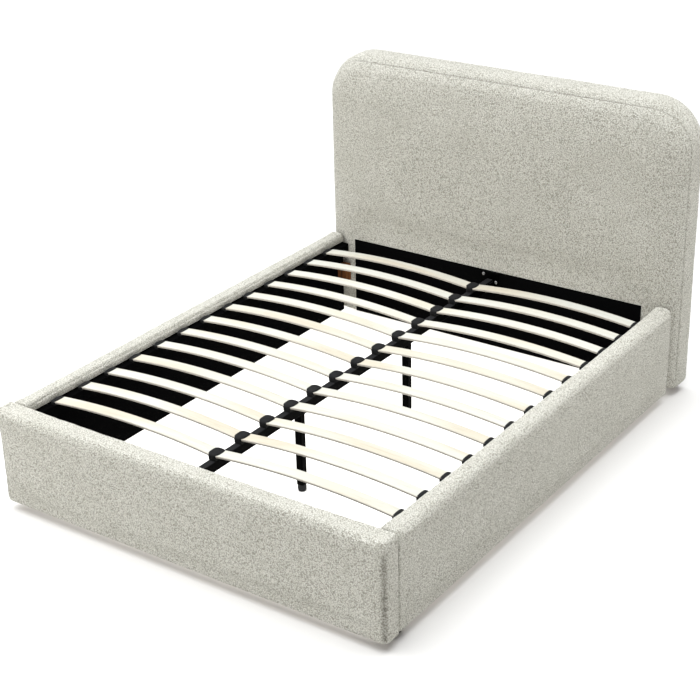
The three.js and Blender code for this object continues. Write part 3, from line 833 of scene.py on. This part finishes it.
def side_rail_cover(name, side):
    """A side rail's cover: it is hollow, and its inner side is a short flap."""
    lo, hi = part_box(f"{name}_rail_pad")
    inner, outer = sorted((abs(lo.x), abs(hi.x)))
    round_in = (RAIL_INNER_ROUND, END_ROUND, 0.006)
    round_out = (RAIL_SIDE_ROUND, END_ROUND, RAIL_TOP_ROUND)
    low = (inner, lo.y + FOOT_SEAM_GAP, lo.z)
    high = (outer - SIDE_RAIL_INSET, hi.y, hi.z)
    obj = soft_box(f"{name}_rail_cover", low, high, round_in, round_out, (0.009, 0.012, 0.011), fine=0.0035)
    co = coordinates(obj)
    inside = co[:, 0] < inner + 0.006
    puff(obj, rail_free(co, lo, hi, inside), 2.5, 0.004)
    subdivide(obj)

    def free(p):
        inside = 1 - ease(p[:, 0], inner + 0.001, inner + 0.006)
        flap = ease(p[:, 2], hi.z - FLAP, hi.z - 0.012)
        ends = ease(p[:, 1] - lo.y, 0.0, 0.02) * ease(hi.y - p[:, 1], 0.0, 0.02)
        return (1 - inside * (1 - flap)) * ends * ease(p[:, 2], lo.z, lo.z + 0.03)

    undulate(obj, free, COVER_WAVES)
    face = inner + FLAP_THICKNESS
    back = outer - PAD_HOLLOW
    start, end = lo.y - REACH, hi.y + REACH
    cut(obj, [
        block((face, start, -REACH), (back, end, hi.z - PAD_HOLLOW)),
        block((inner - REACH, start, -REACH), (face + 0.001, end, hi.z - FLAP)),
    ])
    if side < 0:
        mirror_x(obj)
    piece(obj, 60, [BOUCLE], [f"{name}_rail_pad"])


def foot_rail_cover():
    """The foot rail's cover. It wraps the ends, where the front and end panels meet in an upright seam."""
    lo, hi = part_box("foot_rail_pad")
    rail_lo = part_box("right_rail_pad")[0]
    round_in = (0.012, 0.013, 0.006)
    round_out = (0.012, END_ROUND, RAIL_TOP_ROUND)
    obj = soft_box("foot_rail_cover", lo, hi, round_in, round_out, (0.012, 0.009, 0.011), fine=0.0035)
    co = coordinates(obj)
    corner = np.minimum(np.hypot(hi.x - 0.004 - np.abs(co[:, 0]), co[:, 1] - (lo.y + 0.006)) / 0.03, 1.0)
    inside = (co[:, 1] > hi.y - 0.004) & (np.abs(co[:, 0]) < rail_lo.x)
    behind = np.where((co[:, 1] > hi.y - 0.006) & (np.abs(co[:, 0]) > rail_lo.x - 0.003), 0.0, 1.0)
    flap = np.where(inside, ease(co[:, 2], hi.z - FLAP, hi.z - 0.01), 1.0)
    puff(obj, ease(co[:, 2], lo.z + 0.012, lo.z + 0.07) * corner * behind * flap, 2.5, 0.004)
    subdivide(obj)

    def free(p):
        back = 1 - ease(hi.y - p[:, 1], 0.001, 0.008)
        return (1 - back * (1 - ease(p[:, 2], hi.z - 0.022, hi.z - 0.008))) * ease(p[:, 2], lo.z, lo.z + 0.03)

    undulate(obj, free, COVER_WAVES)

    def seam_share(p, width):
        away = np.hypot(hi.x - 0.0065 - np.abs(p[:, 0]), p[:, 1] - (lo.y + 0.0025))
        return np.exp(-(away / width) ** 2) * (1 - ease(p[:, 2], hi.z - 0.085, hi.z - 0.015))

    co = coordinates(obj)
    places = [Vector((math.copysign(3.0, x), 1.0, z / 0.013)) for x, _, z in co]
    puckers = np.array([1.0 + 0.8 * noise.noise(p) for p in places])
    depth = 0.0095 * seam_share(co, 0.0085) * puckers
    # Painted shade in the upright corner seam, following its groove and puckers.
    paint_seam_shade(obj, lambda p: 0.62 * seam_share(p, 0.0100) * puckers)
    co[:, 0] -= np.sign(co[:, 0]) * depth * 0.5
    co[:, 1] += depth * 0.86
    set_coordinates(obj, co)
    face = hi.y - FLAP_THICKNESS
    hollow = hi.x - PAD_HOLLOW
    cut(obj, [
        block((-hollow, lo.y + PAD_HOLLOW, -REACH), (hollow, face, hi.z - PAD_HOLLOW)),
        block((-rail_lo.x, face - 0.001, -REACH), (rail_lo.x, hi.y + REACH, hi.z - FLAP)),
    ])
    piece(obj, 60, [BOUCLE], ["foot_rail_pad"])


def bent_path(corners, radius, pitch):
    """A line through the corners, with each corner turned on a small arc."""
    points = [np.array(corners[0], float)]
    for before, at, after in zip(corners, corners[1:], corners[2:]):
        at = np.array(at, float)
        a = np.array(before, float) - at
        b = np.array(after, float) - at
        r = min(radius, np.linalg.norm(a) / 2, np.linalg.norm(b) / 2)
        start = at + a / np.linalg.norm(a) * r
        end = at + b / np.linalg.norm(b) * r
        points += [(1 - t) ** 2 * start + 2 * t * (1 - t) * at + t * t * end for t in (0, 0.33, 0.67, 1)]
    points.append(np.array(corners[-1], float))
    filled = [points[0]]
    for p, q in zip(points, points[1:]):
        count = max(1, round(np.linalg.norm(q - p) / pitch))
        filled += [p + (q - p) * t for t in np.linspace(0, 1, count + 1)[1:]]
    return np.array(filled)


def ribbon(name, path, thickness, y0, y1, pitch=0.05):
    """A closed sheet as thick as the fabric, with the given mid-line in (x, z), run along Y."""
    tangent = np.gradient(path, axis=0)
    tangent /= np.linalg.norm(tangent, axis=1)[:, None]
    normal = np.stack([-tangent[:, 1], tangent[:, 0]], 1) * thickness / 2
    section = np.concatenate([path + normal, (path - normal)[::-1]])
    ys = np.linspace(y0, y1, round((y1 - y0) / pitch) + 1)
    points = [(x, y, z) for y in ys for x, z in section]
    faces = swept_faces(len(ys), len(section)) + end_faces(len(ys), len(section))
    return new_object(name, points, faces)


def rail_linings():
    """Black fabric from under each flap, over the slat ledge and down to the rail's lower edge."""
    half = LINING_THICKNESS / 2
    for name, side in SIDES:
        lo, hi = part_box(f"{name}_rail_lining")
        near, far = sorted((abs(lo.x), abs(hi.x)))
        ledge, outer = near + half, far - half
        top = LEDGE_TOP + FABRIC_GAP + half
        low = LEDGE_BOTTOM - FABRIC_GAP - half
        corners = [(outer, hi.z), (outer, top), (ledge, top), (ledge, low), (outer, low), (outer, lo.z)]
        path = bent_path(corners, 0.002, 0.02)
        path[:, 0] *= side
        obj = ribbon(f"{name}_rail_cloth", path, LINING_THICKNESS, lo.y, hi.y)
        piece(obj, 50, [LINING], [f"{name}_rail_lining"])
    lo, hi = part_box("foot_rail_lining")
    rows = [(z, hi.x) for z in np.linspace(lo.z, hi.z, 20)]
    obj = flat_sheet("foot_rail_cloth", rows, lo.y, hi.y, 0.0)
    piece(obj, 50, [LINING], ["foot_rail_lining"])


# ---- Slats ----
SLAT_EDGE_RADIUS = 0.0021
SLAT_RADIUS = (SLAT_REACH ** 2 + SLAT_BOW ** 2) / (2 * SLAT_BOW)
SLAT_ANGLE = math.asin(SLAT_REACH / SLAT_RADIUS)


def slat_section():
    """Points (y, height) round a slat's section, with its long edges eased."""
    r = SLAT_EDGE_RADIUS
    half, top = SLAT_HALF_WIDTH - r, SLAT_THICKNESS - r
    quarter = math.pi / 2
    centres = [(half, r, -quarter), (half, top, 0.0), (-half, top, quarter), (-half, r, 2 * quarter)]
    return [
        (y + r * math.cos(start + t), h + r * math.sin(start + t))
        for y, h, start in centres for t in np.linspace(0, quarter, 4)
    ]


def slat(name, side, row):
    """A bowed slat, with veneer on its faces and plies along its edges."""
    node = f"{name}_slat_{row + 1:02d}"
    lo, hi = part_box(node)
    y_mid, x_mid = (lo.y + hi.y) / 2, (lo.x + hi.x) / 2
    section = slat_section()
    count, segments = len(section), 36
    twist = 0.0008 * noise.noise(Vector((side * 2.0, row * 1.7, 0.5)))
    points, plies = [], []
    for i in range(segments + 1):
        angle = SLAT_ANGLE * (2 * i / segments - 1)
        for y, h in section:
            radius = SLAT_RADIUS + h
            sag = twist * math.cos(angle / SLAT_ANGLE * math.pi / 2) * y / SLAT_HALF_WIDTH
            z = SLAT_TIP_Z + SLAT_BOW - SLAT_RADIUS + radius * math.cos(angle) + sag
            points.append((x_mid + radius * math.sin(angle), y_mid + y, z))
            plies.append(h / SLAT_THICKNESS)
    faces = swept_faces(segments + 1, count)
    faces += [range(count), range(segments * count, (segments + 1) * count)]
    onward = section[1:] + section[:1]
    edges = [int(abs(a[0] - b[0]) < SLAT_EDGE_RADIUS) for a, b in zip(section, onward)] * segments + [1, 1]
    obj = new_object(f"{node}_veneer", points, faces)
    mark(obj, "ply", plies)
    obj.data.polygons.foreach_set("material_index", edges)
    piece(obj, 40, [VENEER, VENEER_EDGE], [node])


# ---- Slat holders ----
def pocket(side, at_outer, y_mid):
    """The space for one slat's end, tilted as the bowed slat is there."""
    clear, half_depth = POCKET_CLEARANCE, POCKET_DEPTH / 2
    half_width = SLAT_HALF_WIDTH + clear
    tip_x = side * (SLAT_OUTER_X if at_outer else SLAT_INNER_X)
    outward = side * (1 if at_outer else -1)
    cutter = block((-half_depth, -half_width, -clear), (half_depth, half_width, SLAT_THICKNESS + clear))
    co = coordinates(cutter)
    co[:, 0] -= outward * (half_depth - 2 * clear)
    turn = Matrix.Rotation(outward * SLAT_ANGLE, 3, "Y")
    co = np.array([turn @ Vector(p) for p in co])
    set_coordinates(cutter, co + [tip_x, y_mid, SLAT_TIP_Z])
    return cutter


def centre_cap(row, y_mid):
    """A double holder on the centre rail, with a narrow neck under each slat's tip."""
    half = HOLDER_HALF_WIDTH
    lo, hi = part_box("centre_slat_holders")
    obj = soft_box(
        f"centre_cap_{row + 1:02d}",
        (lo.x, y_mid - half, lo.z), (hi.x, y_mid + half, hi.z + 0.0008),
        (0.020, 0.024, 0.0012), (0.020, 0.024, 0.0135), (0.004, 0.004, 0.004), fine=0.0024, power=2.2,
    )
    necks = [
        block((side * NECK_HALF_WIDTH, y_mid - 0.04, 0.36), (side * 0.04, y_mid + 0.04, NECK_TOP))
        for _, side in SIDES
    ]
    cut(obj, [pocket(1, False, y_mid), pocket(-1, False, y_mid)] + necks)
    piece(obj, 45, [CAP_PLASTIC], ["centre_slat_holders"])


def outer_cap(name, side, row, y_mid):
    """A single holder on the ledge, arched over the slat's outer end."""
    half, arch = HOLDER_HALF_WIDTH, 0.005
    node = f"{name}_slat_holders"
    lo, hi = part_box(node)
    near = min(abs(lo.x), abs(hi.x))
    obj = soft_box(
        f"{name}_cap_{row + 1:02d}",
        (near, y_mid - half, lo.z), (OUTER_HOLDER_END, y_mid + half, hi.z),
        (0.003, 0.006, 0.0006), (0.004, 0.006, 0.0050), (0.003, 0.005, 0.003), fine=0.0014, power=2.2,
    )
    co = coordinates(obj)
    height = (co[:, 2] - lo.z) / (hi.z - lo.z)
    co[:, 2] -= arch * height * ((co[:, 1] - y_mid) / half) ** 2
    set_coordinates(obj, co)
    cut(obj, [pocket(1, True, y_mid)])
    if side < 0:
        mirror_x(obj)
    piece(obj, 45, [CAP_PLASTIC], [node])


def slat_holders():
    """A moulded cap on the centre rail for each pair of slats, and one on the ledge for each outer end."""
    for row in range(SLAT_ROWS):
        lo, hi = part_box(f"left_slat_{row + 1:02d}")
        y_mid = (lo.y + hi.y) / 2
        centre_cap(row, y_mid)
        for name, side in SIDES:
            outer_cap(name, side, row, y_mid)


# ---- Lathed pieces ----
def turn_to(direction):
    return Vector((0, 0, 1)).rotation_difference(Vector(direction)).to_matrix()


def lathe(name, profile, axis_point, direction, sides=28):
    """A closed turned piece. profile lists (radius, height) from the axis to the axis."""
    turn = turn_to(direction)
    start = Vector(axis_point)
    points, rings = [], len(profile) - 2
    for radius, height in profile[1:-1]:
        for i in range(sides):
            a = 2 * math.pi * i / sides
            points.append(turn @ Vector((radius * math.cos(a), radius * math.sin(a), height)) + start)
    faces = swept_faces(rings, sides)
    for end, ring in ((profile[0], 0), (profile[-1], rings - 1)):
        points.append(turn @ Vector((0, 0, end[1])) + start)
        tip = len(points) - 1
        faces += [(ring * sides + j, ring * sides + (j + 1) % sides, tip) for j in range(sides)]
    return face_out(new_object(name, points, faces))


def leg_glides():
    """The screw-in feet under the centre legs: a ribbed pad on a threaded stem."""
    for end in ("head", "foot"):
        lo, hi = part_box(f"{end}_leg_glide")
        centre = ((lo.x + hi.x) / 2, (lo.y + hi.y) / 2, 0.0)
        collar, pitch = 0.0297, 0.002
        profile = [
            (0, 0.0), (0.0105, 0.0), (0.0135, 0.0006), (0.0158, 0.0028), (0.0168, 0.0066), (0.017, 0.009),
        ]
        for number in range(4):
            z = 0.0105 + number * 0.0036
            profile += [(0.017, z), (0.0163, z + 0.0005), (0.0163, z + 0.0011), (0.017, z + 0.0016)]
        profile += [(0.017, collar - 0.0022), (0.0162, collar - 0.0007), (0.0148, collar), (0.0050, collar)]
        for number in range(11):
            z = collar + 0.0008 + number * pitch
            profile += [(0.0044, z), (0.0050, z + pitch / 2)]
        profile += [(0.0042, hi.z - 0.0004), (0.0036, hi.z), (0, hi.z)]
        obj = lathe(f"{end}_glide_foot", profile, centre, (0, 0, 1))
        piece(obj, 35, [FOOT_PLASTIC], [f"{end}_leg_glide"], body=f"{end}_glide")


def screw(name, at, direction):
    """A zinc pan-head screw with a cross recess, over the bracket's own."""
    profile = [
        (0, 0.0012), (0.0064, 0.0012), (0.0071, 0.0012), (0.0074, 0.0018), (0.0073, 0.0028),
        (0.0066, 0.0040), (0.0052, 0.0050), (0.0032, 0.0055), (0, 0.0056),
    ]
    obj = lathe(name, profile, at, direction, 24)
    turn = turn_to(direction)
    cutters = []
    for long_x, long_y in ((0.0040, 0.0009), (0.0009, 0.0040)):
        cutter = block((-long_x, -long_y, 0.0046), (long_x, long_y, 0.02))
        set_coordinates(cutter, [turn @ Vector(p) + Vector(at) for p in coordinates(cutter)])
        cutters.append(cutter)
    cut(obj, cutters)
    piece(obj, 40, [ZINC])


def bracket_screws():
    for end, facing, places in BRACKET_SCREWS:
        lo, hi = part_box(f"centre_rail_{end}_bracket")
        plate = hi.y - BRACKET_PLATE if facing < 0 else lo.y + BRACKET_PLATE
        for number, (x, z) in enumerate(places):
            screw(f"{end}_bracket_screw_{number + 1}", (x, plate, z), (0, facing, 0))


# ---- CAD nodes that stay ----
def dress(names, material, bevel):
    """Eases a CAD node's edges with modifiers, and gives it its material."""
    for name in names:
        obj = bpy.data.objects[name]
        weld = obj.modifiers.new("weld", "WELD")
        weld.merge_threshold = 0.00002
        assign(obj.modifiers.new("ease", "BEVEL"), {
            "width": bevel, "segments": 2, "limit_method": "ANGLE", "angle_limit": math.radians(40),
            "harden_normals": False,
        })
        obj.data.materials.clear()
        obj.data.materials.append(material)


def dress_frame():
    boards = ("front_panel", "top_rail", "left_post", "right_post", "cross_rail")
    timbers = [f"headboard_{name}" for name in boards]
    timbers += [f"{name}_rail_frame" for name in ("left", "right", "foot")]
    dress(timbers, PINE, 0.0012)
    dress(["head_left_corner_block", "head_right_corner_block"], STAINED, 0.0015)
    dress(["centre_rail", "head_centre_leg", "foot_centre_leg"], STEEL, 0.0004)
    dress(["centre_rail_head_bracket", "centre_rail_foot_bracket"], STEEL, 0.0006)
    feet = [f"{end}_{name}_foot" for end in ("front", "rear") for name, _ in SIDES]
    dress(feet, FOOT_PLASTIC, 0.0015)


# ---- Stage ----
def camera():
    """A camera at the photograph's viewing angle."""
    place = Vector((3.2529, -4.6934, 3.123))
    yaw, pitch, roll = (math.radians(a) for a in (35.297, 25.350, -1.363))
    pose = Matrix.Translation(place)
    for angle, axis in ((yaw, "Z"), (math.pi / 2 - pitch, "X"), (roll, "Z")):
        pose = pose @ Matrix.Rotation(angle, 4, axis)
    data = bpy.data.cameras.new("camera")
    assign(data, {"sensor_width": 36.0, "lens": 83.3, "clip_end": 200.0})
    SCENE.camera = add_object("camera", data)
    SCENE.camera.matrix_world = pose


def lamp(name, kind, energy, place, target, **settings):
    data = bpy.data.lights.new(name, kind)
    data.energy = energy
    assign(data, settings)
    obj = add_object(name, data)
    obj.location = place
    obj.rotation_euler = (Vector(target) - Vector(place)).to_track_quat("-Z", "Y").to_euler()
    return obj


def studio():
    """A white floor under a broad soft top light, two fills, and light on the floor inside the bed."""
    reach = 60.0
    corners = [(-reach, -reach, 0), (reach, -reach, 0), (reach, reach, 0), (-reach, reach, 0)]
    floor = new_object("floor", corners, [(0, 1, 2, 3)])
    s = Shader("floor", roughness=0.9, specular=0.1)
    s.colour(s.ramp(s.noise(0.8, 2.0), [(0.3, (0.600, 0.590, 0.568)), (0.7, (0.612, 0.602, 0.580))]))
    floor.data.materials.append(s.material)
    world = bpy.data.worlds.new("studio")
    world.use_nodes = True
    nodes, links = world.node_tree.nodes, world.node_tree.links
    nodes["Background"].inputs["Color"].default_value = (1.0, 1.0, 1.0, 1.0)
    seen = nodes.new("ShaderNodeLightPath")
    strength = nodes.new("ShaderNodeMapRange")
    strength.inputs["To Min"].default_value = 0.42
    links.new(seen.outputs["Is Camera Ray"], strength.inputs["Value"])
    links.new(strength.outputs[0], nodes["Background"].inputs["Strength"])
    SCENE.world = world
    soft, sky = math.radians(70), (0.97, 0.99, 1.03)
    lamp("top", "SUN", 5.15, (-0.30, -0.25, 5.0), (0, 0, 0), angle=soft, color=sky)
    lamp("fill", "AREA", 74.0, (-2.9, -2.7, 2.2), (0.0, 0.6, 0.7), shape="DISK", size=2.0)
    lamp("side_fill", "AREA", 44.0, (4.2, 2.2, 2.6), (0.6, 0.0, 0.5), shape="DISK", size=2.0)
    above, below = (-0.055, 0.02, 0.038), (-0.055, 0.02, 0)
    inner = lamp("floor_light", "AREA", 20.0, above, below, shape="RECTANGLE", size=1.69, size_y=2.21)
    inner.visible_camera = False
    SCENE.view_settings.view_transform = "Standard"
    SCENE.view_settings.look = "None"


headboard_cushion()
headboard_boxing()
headboard_sheets()
for side in SIDES:
    side_rail_cover(*side)
foot_rail_cover()
rail_linings()
for side in SIDES:
    for number in range(SLAT_ROWS):
        slat(*side, number)
slat_holders()
leg_glides()
bracket_screws()
dress_frame()
camera()
studio()
